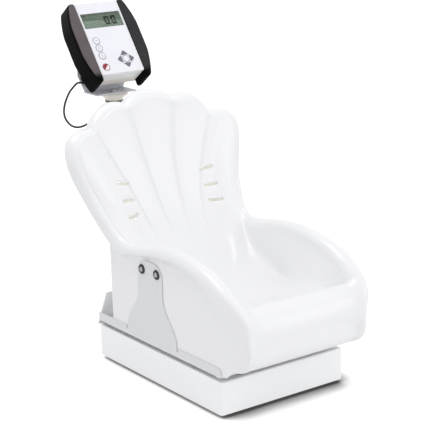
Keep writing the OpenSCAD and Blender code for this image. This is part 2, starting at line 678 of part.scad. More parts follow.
ear_in = 37;        // inner face of each hinge ear, from the middle
module yoke() color([0.62, 0.65, 0.71]) placed() difference() {
  union() {
    translate([-bracket_w / 2, bracket_front, bracket_z]) cube([bracket_w, bracket_l, bracket_t]);
    // rear plate, wider towards its top
    translate([0, bracket_back, bracket_z]) rotate([90, 0, 0]) linear_extrude(bracket_t)
      polygon([for (s = [1, -1]) each let (q = [[bracket_w / 2, 0], [bracket_w / 2, bracket_t],
          [bracket_w / 2 + 16, bracket_h * 0.66], [bracket_w / 2 + 16, bracket_h - 8],
          [bracket_w / 2 + 8, bracket_h]])
        [for (i = s > 0 ? [0:4] : [4:-1:0]) [s * q[i][0], q[i][1]]]]);
    both_sides() {
      translate([ear_in, hinge_y, hinge_z]) rotate([0, 90, 0]) rod(16, bracket_t);
      translate([ear_in, hinge_y, hinge_z - 8]) cube([bracket_t, bracket_back - hinge_y - bracket_t + eps, 16]);
    }
  }
  translate([0, neck_y, bracket_z - 1]) rod(swivel_d + 0.1, bracket_t + 2);
  translate([-60, hinge_y, hinge_z]) rotate([0, 90, 0]) rod(pin_d + 0.1, 120);
}

module swivel_bolt() color("silver") placed() translate([0, neck_y, 0]) {
  translate([0, 0, neck_z - 16]) rod(swivel_d, swivel_bolt_z - neck_z + 16);
  translate([0, 0, swivel_bolt_z]) rod(17, bolt_head);
  translate([0, 0, neck_z - 16 - 8 - fit]) difference() {
    hex_rod(17, 8);
  }
  translate([0, 0, neck_z - 16 - fit - eps]) rod(swivel_d, 1);
}

module tilt_pin() color("silver") placed() translate([-ear_in - bracket_t - 12, hinge_y, hinge_z])
  rotate([0, 90, 0]) rod(pin_d, 2 * (ear_in + bracket_t + 12));

module tilt_knobs() color("black") placed() both_sides()
  translate([ear_in + bracket_t, hinge_y, hinge_z]) rotate([0, 90, 0]) difference() {
    union() {
      rod(13, 3);
      translate([0, 0, 3]) rod(17.6, 10);
    }
    for (a = [0:60:300]) rotate([0, 0, a]) translate([9.4, 0, 2]) rod(3.4, 12);
    translate([0, 0, -1]) rod(pin_d + 0.1, 15);
  }

// ---------------------------------------------------------------- indicator

lcd_w = head_w - 2 * lcd_side;
lcd_up = head_h - lcd_drop - lcd_h;
key_row = head_w / 2 - key_inset;
pad_x = head_w / 2 - pad_inset;
split = 30;         // depth at which the two housing halves meet
pocket = key_travel + 2.7;
lcd_mid = lcd_up + lcd_h / 2;
frame_t = 0.6;      // thickness of the front overlay

module head_block(w, h, d, r) translate([0, d / 2, h / 2]) rotate([90, 0, 0])
  linear_extrude(d, center = true) round_rect(w, h, r);

board_y = split - 10;
module front_housing() color([0.9, 0.9, 0.92]) in_head() difference() {
  union() {
    difference() {
      head_block(head_w, head_h, split, 3);
      translate([0, pocket + 2.5, head_wall])
        head_block(head_w - 2 * head_wall, head_h - 2 * head_wall, split, 1.5);
    }
    // posts for the board
    for (sx = [-1, 1], v = [14, head_h - 14]) translate([sx * (head_w / 2 - 11), pocket + 2, v])
      rotate([-90, 0, 0]) rod(7, board_y - pocket - 2);
  }
  // seat of the overlay, of the display and of each key
  translate([0, -1, 1.5]) head_block(head_w - 3, head_h - 3, 1 + frame_t, 2);
  translate([-lcd_w / 2, -1, lcd_up]) cube([lcd_w, 20, lcd_h]);
  at_all_keys() translate([0, 0, -1]) linear_extrude(1 + frame_t + pocket) key_shape($key, key_gap);
}

module front_overlay() color([0.91, 0.91, 0.94]) in_head() difference() {
  translate([0, 0, 1.7]) head_block(head_w - 3.4, head_h - 3.4, frame_t, 2);
  translate([-lcd_w / 2, -1, lcd_up]) cube([lcd_w, 4, lcd_h]);
  at_all_keys() translate([0, 0, -1]) linear_extrude(3) key_shape($key, key_gap);
}

module rear_housing() color([0.85, 0.84, 0.82]) in_head() difference() {
  union() {
    difference() {
      translate([0, split, 0]) head_block(head_w, head_h, head_d - split, 3);
      translate([0, split - 1, head_wall])
        head_block(head_w - 2 * head_wall, head_h - 2 * head_wall, head_d - split - head_wall + 1, 1.5);
      // door opening
      translate([0, head_d - 6, door_up - 0.3]) head_block(door_w + 0.6, door_h + 0.6, 10, 3);
    }
    // hinge barrel and its web
    translate([-ear_in + 0.5, head_d + hinge_out, hinge_up]) rotate([0, 90, 0]) rod(16, 2 * ear_in - 1);
    translate([-ear_in + 0.5, head_d - head_wall, hinge_up - 8]) cube([2 * ear_in - 1, hinge_out + head_wall, 16]);
  }
  translate([-ear_in - 5, head_d + hinge_out, hinge_up]) rotate([0, 90, 0]) rod(pin_d + 2 * run, 2 * ear_in + 10);
  at_housing_screws() translate([0, 0, -1]) rod(3.4, 12);
  translate([gland_x, head_d - 5, gland_up]) rotate([-90, 0, 0]) rod(8.2, 10);
}

door_w = 78;
door_h = 62;
door_up = 98;
module battery_door() color([0.83, 0.82, 0.8]) in_head()
  translate([0, head_d - head_wall, door_up]) head_block(door_w, door_h, head_wall, 2.7);

cell_d = 14;
module battery_pack() color("darkslategray") in_head() for (i = [0:3])
  translate([-28, head_d - head_wall - fit - cell_d / 2, door_up + 9 + (cell_d + fit) * i])
    rotate([0, 90, 0]) rod(cell_d, 56);

module at_housing_screws() for (sx = [-1, 1], v = [10, head_h - 10])
  translate([sx * (head_w / 2 - 9), head_d, v]) rotate([90, 0, 0]) children();

module housing_screws() color("silver") in_head() at_housing_screws() {
  rod(3, 10);
  translate([0, 0, -2]) rod(6, 2);
}

rail_end = 9;
rail_proud = 3;
rail_low = -14;
rail_deep = 52;
// a rail's outline: straight against the housing, bowed on its outer side
module rail_outline() intersection() {
  translate([head_w / 2, rail_low]) square([60, rail_top_v - rail_low]);
  translate([rail_reach - rail_bow, 85]) circle(rail_bow, $fn = 180);
  union() {
    translate([head_w / 2 - 40, (rail_top_v + rail_low) / 2])
      round_rect(140, rail_top_v - rail_low, rail_end);
  }
}
module rail() difference() {
  translate([0, rail_deep, 0]) rotate([90, 0, 0]) linear_extrude(rail_deep + rail_proud) rail_outline();
  // the rear corner is cut away above the lower end
  translate([head_w / 2 - 1, rail_deep - 7, 24]) cube([60, 20, rail_top_v]);
}
module rail_right() color([0.22, 0.21, 0.21]) in_head() translate([0.05, 0, 0]) rail();
module rail_left() color([0.42, 0.39, 0.39]) in_head() mirror([1, 0, 0]) translate([0.05, 0, 0]) rail();

module display_lens() color([0.6, 0.68, 0.62, 0.5]) in_head()
  translate([-lcd_w / 2 + 0.2, 0.8, lcd_up + 0.2]) cube([lcd_w - 0.4, 1.5, lcd_h - 0.4]);

module display_module() color([0.52, 0.59, 0.52]) in_head()
  translate([-lcd_w / 2 + 0.5, 2.3, lcd_up + 0.5]) cube([lcd_w - 1, 7, lcd_h - 1]);

module main_board() color("darkgreen") in_head()
  translate([-head_w / 2 + 6, board_y, 8]) cube([head_w - 12, 1.6, head_h - 16]);

gland_x = -30;
gland_up = 11.65;
module cable_gland() color("black") in_head() translate([gland_x, head_d, gland_up]) rotate([-90, 0, 0])
  difference() {
    union() {
      translate([0, 0, -2.4]) rod(8, 2.4);
      rod(12, 2.5);
      cylinder(h = 9, d1 = 9.4, d2 = 7.4);
    }
    translate([0, 0, -3]) rod(cable_d + 2 * fit, 20);
  }

// ---------------------------------------------------------------- keys

// the pad's keys lie round its middle, the others in the left row
row_up = 45.4;
KEYS = [
  ["round", [-key_row, row_up + 2 * key_pitch], 0],
  ["round", [-key_row, row_up + key_pitch], 0],
  ["round", [-key_row, row_up], 0],
  ["round", [-key_row - 0.8, 17.5], 0],
  ["round", [pad_x, pad_up], 0],
  ["arrow", [pad_x, pad_up], 0],
  ["arrow", [pad_x, pad_up], 180],
  ["arrow", [pad_x, pad_up], 90],
  ["arrow", [pad_x, pad_up], -90]
];
// a key's outline in the plane of the front, larger by g all round
module key_shape(k, g) {
  if (k[0] == "round") circle(key_d / 2 + g);
  else rotate(k[2]) polygon([[-8.8 - 1.8 * g, 10.2 - g], [8.8 + 1.8 * g, 10.2 - g], [1.6 + 0.9 * g, 19.6 + g],
    [-1.6 - 0.9 * g, 19.6 + g]]);
}
// turns the front's plane so that its z goes into the housing
module at_key(k) translate([k[1][0], 0, k[1][1]]) rotate([90, 0, 0]) mirror([0, 0, 1]) children();
module at_all_keys() for (key = KEYS) { $key = key; at_key(key) children(); }
module key(i) in_head() at_key(KEYS[i]) translate([0, 0, -key_rise])
  linear_extrude(key_rise + frame_t + 2) key_shape(KEYS[i], 0);

module key_round_1() color("lavender") key(0);
module key_round_2() color("lavender") key(1);
module key_round_3() color("lavender") key(2);
module key_power() color("firebrick") key(3);
module key_centre() color("lavender") key(4);
module key_up() color("slategray") key(5);
module key_down() color("slategray") key(6);
module key_left() color("slategray") key(7);
module key_right() color("slategray") key(8);

// ---------------------------------------------------------------- cable

// The cable's route from the base's middle: out of the gland, round the left
// side and back into the column
CABLE = [[-30, 366, 571], [-30, 374, 565], [-30, 382, 559], [-34, 389, 556], [-44, 393, 557],
  [-57, 393, 561], [-70, 390, 565], [-82, 384, 566], [-94, 378, 561], [-106, 374, 553],
  [-116, 371, 541], [-123, 370, 527], [-126, 370, 512], [-124, 370, 498], [-117, 370, 486],
  [-107, 369, 477], [-94, 368, 473], [-80, 368, 474], [-66, 367, 479], [-50, 367, 485],
  [-36, 367, 488], [-24, 367, 488], [-12, 367, 488]];

// smooth curve through the points of a route
function along(p, t) = let (n = len(p) - 1, i = min(floor(t), n - 1), f = t - i,
    a = p[max(i - 1, 0)], b = p[i], c = p[i + 1], d = p[min(i + 2, n)])
  0.5 * (2 * b + (c - a) * f + (2 * a - 5 * b + 4 * c - d) * f * f + (3 * b - 3 * c + d - a) * f * f * f);
module cable() color("black") placed() {
  n = 2 * (len(CABLE) - 1);
  sides = 8;
  path = [for (i = [0:n]) along(CABLE, i / 2)];
  // each ring's first spoke is the last ring's, turned square to the path
  dir = [for (i = [0:n]) unit(path[min(i + 1, n)] - path[max(i - 1, 0)])];
  spoke = [for (i = 0, a = [1, 0, 0]; i <= n; i = i + 1, a = i <= n ? unit(a - (a * dir[i]) * dir[i]) : a) a];
  rings = [for (i = [0:n]) let (b = cross(dir[i], spoke[i])) [for (s = [0:sides - 1])
    path[i] + cable_d / 2 * (cos(360 * s / sides) * spoke[i] + sin(360 * s / sides) * b)]];
  sheath = [for (i = [0:n - 1]) for (s = [0:sides - 1]) let (e = (s + 1) % sides)
    [i * sides + s, (i + 1) * sides + s, (i + 1) * sides + e, i * sides + e]];
  polyhedron([for (r = rings) each r], concat(sheath,
    [[for (s = [0:sides - 1]) s]], [[for (s = [sides - 1:-1:0]) n * sides + s]]));
}

base_housing();
bottom_plate();
corner_posts();
foot_studs();
feet();
load_cell();
cell_spacer();
cell_bolts();
overload_screw();
column_foot();
column_foot_bolts();
column();
column_bolts();
column_plug();
swivel_ring();
cable_grommet();
cable();
deck();
platform_post();
post_screws();
seat();
ear_washers();
ear_screws();
ear_nuts();
seat_screws();
yoke();
swivel_collar();
swivel_bolt();
tilt_pin();
tilt_knobs();
front_housing();
rear_housing();
rail_left();
rail_right();
front_overlay();
display_lens();
display_module();
main_board();
battery_pack();
battery_door();
housing_screws();
cable_gland();
key_round_1();
key_round_2();
key_round_3();
key_power();
key_centre();
key_up();
key_down();
key_left();
key_right();
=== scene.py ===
import math

import bpy
import numpy as np
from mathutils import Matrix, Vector


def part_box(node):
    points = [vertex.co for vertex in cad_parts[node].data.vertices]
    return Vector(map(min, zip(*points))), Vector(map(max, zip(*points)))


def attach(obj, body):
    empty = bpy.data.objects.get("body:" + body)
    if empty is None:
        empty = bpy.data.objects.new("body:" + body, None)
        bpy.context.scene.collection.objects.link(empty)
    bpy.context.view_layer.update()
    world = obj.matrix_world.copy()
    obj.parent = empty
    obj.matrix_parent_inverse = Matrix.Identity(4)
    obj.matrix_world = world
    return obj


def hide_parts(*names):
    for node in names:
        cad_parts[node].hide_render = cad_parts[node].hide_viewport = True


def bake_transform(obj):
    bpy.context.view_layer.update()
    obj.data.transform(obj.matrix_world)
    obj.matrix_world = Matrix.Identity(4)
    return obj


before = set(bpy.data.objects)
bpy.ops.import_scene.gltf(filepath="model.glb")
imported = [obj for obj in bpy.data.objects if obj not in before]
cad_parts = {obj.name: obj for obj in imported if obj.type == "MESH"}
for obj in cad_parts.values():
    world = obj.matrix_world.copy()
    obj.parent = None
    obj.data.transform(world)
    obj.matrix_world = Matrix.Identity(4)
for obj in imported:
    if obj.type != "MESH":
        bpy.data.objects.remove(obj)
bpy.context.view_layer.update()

# Viewer. It looks at the scale from its front left, a little above the seat,
# through a long lens. The base's middle lies a little in front of y 0, and
# lengthwise places are counted from it.
LENS_MM, VIEWER_TURN = 119.85, (74.876, 1.274, -36.194)
base_middle = (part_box("base_housing")[0].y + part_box("base_housing")[1].y) / 2
lens = bpy.data.cameras.new("viewer_lens")
lens.sensor_width = 36
lens.lens = LENS_MM
viewer = bpy.data.objects.new("viewer", lens)
viewer.location = (-1.636, base_middle - 2.257, 1.091)
viewer.rotation_euler = [math.radians(a) for a in VIEWER_TURN]
bpy.context.scene.collection.objects.link(viewer)
bpy.context.scene.camera = viewer
bpy.context.scene.view_settings.view_transform = "Standard"

# Cable. A thin black lead leaves the indicator's gland, loops down its left
# side and goes into the column. It is made in two lengths that meet where it
# first turns down.
CABLE_D = 0.0044
CABLE_SPLIT = 7    # the route's point where the two lengths meet
CABLE_STEPS = 12   # rings of the tube from one point of the route to the next
CABLE = np.array([
    (-30, 366, 571), (-30, 374, 565), (-30, 382, 559), (-34, 389, 556), (-44, 393, 557),
    (-57, 393, 561), (-70, 390, 565), (-82, 384, 566), (-94, 378, 561), (-106, 374, 553),
    (-116, 371, 541), (-123, 370, 527), (-126, 370, 512), (-124, 370, 498), (-117, 370, 486),
    (-107, 369, 477), (-94, 368, 473), (-80, 368, 474), (-66, 367, 479), (-50, 367, 485),
    (-36, 367, 488), (-24, 367, 488), (-12, 367, 488)]) / 1000 + (0, base_middle, 0)


def through(points, t):
    """Catmull-Rom curve: at t, half of 2b + (c-a)f + (2a-5b+4c-d)f^2 + (3b-3c+d-a)f^3,
    where b and c are the points before and after t, and a and d their neighbours."""
    i = np.minimum(t.astype(int), len(points) - 2)
    f = (t - i)[:, None]
    a, b, c, d = (points[np.clip(i + n, 0, len(points) - 1)] for n in (-1, 0, 1, 2))
    return 0.5 * (2 * b + (c - a) * f + (2 * a - 5 * b + 4 * c - d) * f**2
                  + (3 * b - 3 * c + d - a) * f**3)


def unit(v):
    """Each vector divided by its own length."""
    return v / np.linalg.norm(v, axis=-1, keepdims=True)


def piece(name, points, faces, smooth=40):
    """A mesh object at the origin, smooth but for edges over that many degrees."""
    mesh = bpy.data.meshes.new(name)
    mesh.from_pydata(np.asarray(points).reshape(-1, 3).tolist(), [], faces)
    mesh.validate()
    mesh.shade_smooth()
    mesh.set_sharp_from_angle(angle=math.radians(smooth))
    obj = bpy.data.objects.new(name, mesh)
    bpy.context.scene.collection.objects.link(obj)
    return obj


def grid_faces(n, m, start=0):
    """Quads between n rings of m points, whose first point has that number."""
    i, j = np.meshgrid(np.arange(n - 1), np.arange(m), indexing="ij")
    k = (j + 1) % m
    quads = np.stack([i * m + j, i * m + k, (i + 1) * m + k, (i + 1) * m + j], -1)
    return (start + quads).reshape(-1, 4).tolist()


def lead(name, line, sides=20):
    """Tube along a line: ring points at line + r (cos a) s + r (sin a) (t x s), with
    the tangent t and the side s square to it, and a flat disc at both ends."""
    tangent = unit(np.gradient(line, axis=0))
    side = unit(np.cross(tangent, (0.3, 1, 0.1)))
    other = np.cross(tangent, side)
    a = np.linspace(0, 2 * np.pi, sides, endpoint=False)[None, :, None]
    rings = line[:, None] + CABLE_D / 2 * (np.cos(a) * side[:, None] + np.sin(a) * other[:, None])
    n = len(line)
    ends = [list(range(sides))[::-1], [(n - 1) * sides + s for s in range(sides)]]
    return piece(name, rings, grid_faces(n, sides) + ends)


class Flow:
    """A value that runs through a material. Arithmetic on it adds Math nodes."""

    def __init__(self, tree, socket=None):
        self.tree, self.socket = tree, socket

    def node(self, kind, settings={}, inputs={}, out=0):
        """A node of that type, with its settings made first and then its sockets."""
        made = self.tree.nodes.new("ShaderNode" + kind)
        for key, value in settings.items():
            setattr(made, key, value)
        for key, value in inputs.items():
            if isinstance(value, Flow):
                self.tree.links.new(value.socket, made.inputs[key])
            else:
                made.inputs[key].default_value = value
        return Flow(self.tree, made.outputs[out])

    def maths(self, operation, *values):
        """A Math node of that operation on values and links."""
        return self.node("Math", {"operation": operation}, dict(enumerate(values)))

    def __add__(self, other):
        return self.maths("ADD", self, other)

    def __sub__(self, other):
        return self.maths("SUBTRACT", self, other)

    def __rsub__(self, other):
        return self.maths("SUBTRACT", other, self)

    def __mul__(self, other):
        return self.maths("MULTIPLY", self, other)

    def __abs__(self):
        return self.maths("ABSOLUTE", self)

    __radd__, __rmul__ = __add__, __mul__

    def step(self, low, high):
        """0 below low, 1 above high and a smooth slope between them."""
        return self.node("MapRange", {"interpolation_type": "SMOOTHSTEP"}, {0: self, 1: low, 2: high})

    def tint(self, dark, light):
        """The colour between two, where this value is how far it is from the first."""
        shades = {socket: (*shade, 1) if isinstance(shade, tuple) else shade
                  for socket, shade in ((6, dark), (7, light))}
        return self.node("Mix", {"data_type": "RGBA"}, {0: self, **shades}, out=2)


class Finish:
    """A material with one Principled shader and the object's own coordinates."""

    def __init__(self, name, colour, rough, metal=0.0, coat=0.0):
        self.material = bpy.data.materials.new(name)
        self.material.use_nodes = True
        self.tree = self.material.node_tree
        self.shader = self.tree.nodes["Principled BSDF"]
        self.colour, self.rough = colour, rough
        self.shader.inputs["Metallic"].default_value = metal
        self.shader.inputs["Coat Weight"].default_value = coat
        self.place = Flow(self.tree).node("TexCoord", out="Object")
        self.put("Base Color", (*colour, 1))
        self.put("Roughness", rough)

    def put(self, socket, value):
        """Links a flow to one of the shader's sockets, or sets a plain value on it."""
        if isinstance(value, Flow):
            self.tree.links.new(value.socket, self.shader.inputs[socket])
        else:
            self.shader.inputs[socket].default_value = value
        return self

    def noise(self, size, detail=3.0, stretch=(1, 1, 1)):
        """Noise whose blots are that many metres across, drawn out along the axes."""
        where = self.place.node("Mapping", {}, {"Vector": self.place, "Scale": stretch})
        return self.place.node("TexNoise", {}, {"Vector": where, "Scale": 1 / size, "Detail": detail})

    def worn(self, size, shade=0.04, gloss=0.08, stretch=(1, 1, 1)):
        """Slow changes of shade and gloss over the surface, as handling leaves them."""
        blots = self.noise(size, 1.0, stretch)
        darker = tuple(c * (1 - shade) for c in self.colour)
        self.put("Base Color", blots.step(0.1, 0.9).tint(darker, self.colour))
        self.put("Roughness", self.rough - gloss / 2 + gloss * blots)
        return self

    def bump(self, height, deep):
        """Relief of that many metres where height goes from 0 to 1."""
        relief = {"Height": height, "Distance": deep, "Strength": 1.0}
        return self.put("Normal", self.place.node("Bump", {}, relief))

    def dress(self, *pieces):
        """Gives this finish to CAD nodes, by name, or to new pieces."""
        for target in pieces:
            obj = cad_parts[target] if isinstance(target, str) else target
            if obj.data.materials:
                obj.data.materials[0] = self.material
            else:
                obj.data.materials.append(self.material)
        return self


legs = len(CABLE) - 1
line = through(CABLE, np.linspace(0, legs, CABLE_STEPS * legs + 1))
tail_line, loop_line = line[:CABLE_STEPS * CABLE_SPLIT + 1], line[CABLE_STEPS * CABLE_SPLIT:]
cable_tail, cable_loop = lead("cable_tail", tail_line), lead("cable_loop", loop_line)
jacket = Finish("cable_jacket", (0.012, 0.012, 0.013), 0.42).worn(0.02, 0.3)
jacket.bump(jacket.noise(0.0012), 0.00008).dress(cable_tail, cable_loop)
for cord, path, bodies, turn in (
    (cable_tail, tail_line, ("indicator", "bracket"), ((-0.034, 0.389, 0.556), (-0.078, 0.386, 0.565))),
    (cable_loop, loop_line, ("bracket", "base"), ((-0.100, 0.372, 0.560), (-0.060, 0.367, 0.478))),
):
    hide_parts("cable")
    start, end = ((x, y + base_middle, z) for x, y, z in turn)
    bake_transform(cord)

# Floor and light. A white floor, a broad lamp overhead and one in front, and
# an even pale surround. What the viewer sees of the floor glows like it, but
# carries a painted shadow: near the base, on the side away from the light, it
# falls to a dim glow.
WHITE = (1, 1, 1, 1)
FLOOR_HALF, SHADE_REACH = 14, 0.065
paper = Finish("paper", (0.92, 0.92, 0.92), 0.9)
seen = paper.place.node("LightPath", out="Is Camera Ray")
to_light = paper.place.node("CombineXYZ", {}, {0: -0.55, 1: 0.45, 2: 0.7})
open_air = paper.place.node(
    "AmbientOcclusion", {"samples": 24}, {"Distance": SHADE_REACH, "Normal": to_light}, out="AO")
matt = Flow(paper.tree, paper.shader.outputs[0])
glow = paper.place.node("Emission", {}, {"Color": WHITE, "Strength": 0.45})
lit = paper.place.node("AddShader", {}, {0: matt, 1: glow})
# painted shadow: the dim glow the floor shows near the base, where the base hides it from the light
painted_shadow = paper.place.node("Emission", {}, {"Color": WHITE, "Strength": 0.06})
shaded = paper.place.node("MixShader", {}, {0: open_air.step(0.25, 0.95), 1: painted_shadow, 2: lit})
shown = paper.place.node("MixShader", {}, {0: seen, 1: matt, 2: shaded})
paper.tree.links.new(shown.socket, paper.tree.nodes["Material Output"].inputs["Surface"])
corners = [(x * FLOOR_HALF, y * FLOOR_HALF, 0) for x, y in ((-1, -1), (1, -1), (1, 1), (-1, 1))]
floor = piece("floor", corners, [(0, 1, 2, 3)])
paper.dress(floor)

room = bpy.data.worlds.new("room")
bpy.context.scene.world = room
room.use_nodes = True
air = Flow(room.node_tree)
in_view, *others = (air.node("LightPath", out=kind) for kind in (
    "Is Camera Ray", "Is Glossy Ray", "Is Transmission Ray"))
for ray in others:
    in_view = in_view.maths("MAXIMUM", in_view, ray)
dim = air.node("Background", {}, {"Color": (0.99, 0.993, 1.0, 1), "Strength": 0.825})
white = air.node("Background", {}, {"Color": WHITE, "Strength": 1.0})
sky = air.node("MixShader", {}, {0: in_view, 1: dim, 2: white})
room.node_tree.links.new(sky.socket, room.node_tree.nodes["World Output"].inputs["Surface"])


def lamp(name, place, aim, size, power):
    """A square lamp whose light leaves along the line from its place to its aim."""
    light = bpy.data.lights.new(name, "AREA")
    light.size, light.energy = size, power
    obj = bpy.data.objects.new(name, light)
    obj.location = place
    obj.rotation_euler = (Vector(aim) - Vector(place)).to_track_quat("-Z", "Y").to_euler()
    bpy.context.scene.collection.objects.link(obj)


SEAT_MIDDLE = (0, 0, 0.3)
lamp("overhead", (-0.6, 0.3, 2.6), SEAT_MIDDLE, 1.2, 15)
lamp("front_right", (1.7, -3.0, 1.3), SEAT_MIDDLE, 2.6, 22)

# Base. A folded sheet-steel box in white enamel on four rubber feet, with a
# zinc-plated bottom plate and posts that carry the feet's studs.
enamel = Finish("white_enamel", (0.92, 0.925, 0.935), 0.34, coat=0.15).worn(0.25, 0.012, 0.06)
enamel.bump(enamel.noise(0.0022, 2.0), 0.00003).dress("base_housing", "column_foot", "column")
zinc = Finish("zinc_plate", (0.60, 0.61, 0.62), 0.36, metal=1.0).worn(0.03, 0.2, 0.2)
zinc.bump(zinc.noise(0.002), 0.00004).dress(
    "bottom_plate", "corner_posts", "foot_studs", "cell_spacer", "overload_screw", "column_foot_bolts",
    "column_bolts", "platform_post", "seat_screws", "housing_screws", "post_screws", "cell_bolts")
foot_rubber = Finish("foot_rubber", (0.025, 0.025, 0.026), 0.75).worn(0.02, 0.3)
foot_rubber.bump(foot_rubber.noise(0.0015), 0.00012).dress("feet", "cable_grommet")

# Load cell. A milled aluminium beam, clear anodised, that bends under the
# platform's post.
milled = Finish("load_cell_metal", (0.66, 0.67, 0.69), 0.33, metal=1.0)
milled.worn(0.01, 0.1, 0.15, (1, 0.05, 1))
milled.bump(milled.noise(0.001, stretch=(1, 0.04, 1)), 0.00002).dress("load_cell")

# Column head. A grey ring and a black plug in glass-filled nylon, in which
# the bracket's bolt turns.
nylon = Finish("black_nylon", (0.02, 0.02, 0.021), 0.5).worn(0.015, 0.25)
nylon.bump(nylon.noise(0.0009), 0.00006).dress("column_plug", "tilt_knobs", "cable_gland")
ring = Finish("grey_nylon", (0.13, 0.125, 0.112), 0.5).worn(0.015, 0.15)
ring.bump(ring.noise(0.0009), 0.00006).dress("swivel_ring")

# Deck. The folded sheet that the seat stands in, with a rounded ear up each
# side, in light grey enamel.
grey_enamel = Finish("grey_enamel", (0.73, 0.735, 0.755), 0.36, coat=0.1).worn(0.2, 0.02, 0.06)
grey_enamel.bump(grey_enamel.noise(0.0022, 2.0), 0.00003).dress("deck")

# Seat. A tub moulded in one piece of glossy white plastic: a pan, arms that
# rise from its front lip and a backrest whose top is cut into five scallops.
# Its foot stands on the deck between the two ears.
RIM = np.array([
    # stations round one side, from the middle of the front to that of the back: x, y
    # and z of the rim's crest and the radius of its roll, in millimetres, then how far
    # the roll leans outward, which way its outside faces and how far past its top it
    # goes on down the inside, in degrees
    (0, -246, 132, 44, 0, -90, 15), (60, -248, 133, 44, 0, -90, 18), (106, -258, 136, 38, 0, -80, 32),
    (134, -274, 146, 29, 0, -62, 50), (145, -259, 165, 21, 0, -40, 65), (150, -223, 188, 18, 0, -15, 78),
    (151, -170, 207, 17, 0, -5, 85), (151, -96, 218, 16, 2, 0, 88), (151, -20, 215, 15, 6, 5, 88),
    (157, 48, 202, 15, 14, 25, 88), (166, 96, 199, 17, 30, 42, 88), (176, 134, 214, 19, 50, 60, 88),
    (186, 162, 243, 20, 68, 76, 89), (193, 183, 277, 20, 78, 86, 90), (200, 196, 312, 20, 82, 90, 90),
    (204, 206, 349, 20, 78, 90, 90), (199, 214, 380, 20, 60, 90, 90), (179, 224, 399, 20, 38, 90, 90),
    (151, 234, 411, 20, 24, 90, 90), (106, 239, 436, 20, 20, 90, 90), (60, 242, 451, 20, 12, 90, 90),
    (0, 246, 457, 20, 0, 90, 90)], float)
LAST = len(RIM) - 1
ARM_START, BACK_START = 5, 12    # stations where the arm and the backrest start
WING_LOBE = 16.2                 # station where the outer lobe is at its height
LOBE_ENDS = (14.4, 18.0, 20.0, 22.0)
LOBE_HIGH, BACK_SLOPE = 17, 0.38
SEAT_SIDE, SEAT_FRONT, SEAT_REAR = 150.0, -262.0, 170.0
FRONT_ROUND, REAR_ROUND = 57, 12
PAN, PAN_Y, BACK_Y, BACK_TOP = 105.0, -35.0, 223, 457
POLE = np.array((0.0, -30.0, 101.0))
TUB_ROWS, RUBS = 60, 220
DECK_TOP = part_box("seat")[0].z


def mix(a, b, t):
    """A step of t from a to b."""
    return a + (b - a) * t


def ease(t):
    """0 below 0, 1 above 1 and a straight slope between."""
    return np.clip(t, 0, 1)


def xyz(*parts):
    """Points from their coordinates, which may be numbers or arrays."""
    return np.stack(np.broadcast_arrays(*parts), -1)


def bow(z):
    """How far the backrest's front lies before its top: 0.00138 (top - z)^2."""
    return 0.00138 * (BACK_TOP - z) ** 2


def scallop(k):
    """Height of the five lobes, from 0 to 1: the sine of half a turn over each, to the
    power 0.75, but the outer lobe rises smoothly out of the wing."""
    total = ease((k - 11.4) / 4.8)
    total = np.where(k > WING_LOBE, 0, total * total * (3 - 2 * total))
    for a, b in zip(LOBE_ENDS, LOBE_ENDS[1:]):
        lobe = np.abs(np.sin(np.pi * (k - a) / (b - a))) ** 0.75
        total += np.where((k > max(a, WING_LOBE)) & (k <= b), lobe, 0)
    return total


def bspline(points, t):
    """Uniform cubic b-spline with its end points three times each, for a stack of point
    rows: a sixth of (1-f)^3 a + (3f^3-6f^2+4) b + (3f+3f^2-3f^3+1) c + f^3 d."""
    q = np.concatenate([points[:1]] * 2 + [points] + [points[-1:]] * 2)
    i = np.minimum((t * (len(q) - 3)).astype(int), len(q) - 4)
    f = (t * (len(q) - 3) - i)[:, None, None]
    return ((1 - f)**3 * q[i] + (3 * f**3 - 6 * f**2 + 4) * q[i + 1]
            + (3 * f + 3 * f**2 - 3 * f**3 + 1) * q[i + 2] + f**3 * q[i + 3]) / 6


def foot_and_hip(k, rim_y, outer_z):
    """Three outlines of the seat's outside, lowest first: inset under the foot, the foot's
    edge, and the hip where the wall turns upright. Each has superellipse corners in
    front and behind and a straight run between."""
    front = np.radians(90 / ARM_START * np.minimum(k, ARM_START))
    rear = np.radians(90 / (LAST - BACK_START) * (np.maximum(k, BACK_START) - BACK_START))
    fore, aft = SEAT_FRONT + FRONT_ROUND, SEAT_REAR - REAR_ROUND
    along = (rim_y - RIM[ARM_START, 1]) / (RIM[BACK_START, 1] - RIM[ARM_START, 1])
    x = SEAT_SIDE * np.where(k < ARM_START, np.sin(front) ** 0.3,
                             np.where(k < BACK_START, 1, np.abs(np.cos(rear)) ** 0.35))
    y = np.where(k < ARM_START, fore - FRONT_ROUND * np.cos(front) ** 0.3, np.where(
        k < BACK_START, mix(fore, aft, along), aft + REAR_ROUND * np.sin(rear) ** 0.5))
    nose = np.exp(-((k - 2.8) / 0.9) ** 2)
    lift = ease((4.9 - k) / 1.2)
    foot = xyz(x, y, 17 * lift * lift * (3 - 2 * lift))
    flat = ease(np.minimum((k - 5) / 1.5, (11 - k) / 1.5))
    hip_z = np.minimum(mix(mix(60, 118, ease((k - 3.6) / 3.4)), 175, flat), outer_z - 6)
    hip = xyz(x + 4 * nose, y - (28 + 18 * nose) * ease((5 - k) / 1.2) + 4 * ease(k - 11), hip_z)
    inset = mix(-210, 156, (y - SEAT_FRONT) / (SEAT_REAR - SEAT_FRONT))
    return xyz(x * (1 - 14 / SEAT_SIDE), inset, 0 * k), foot, hip


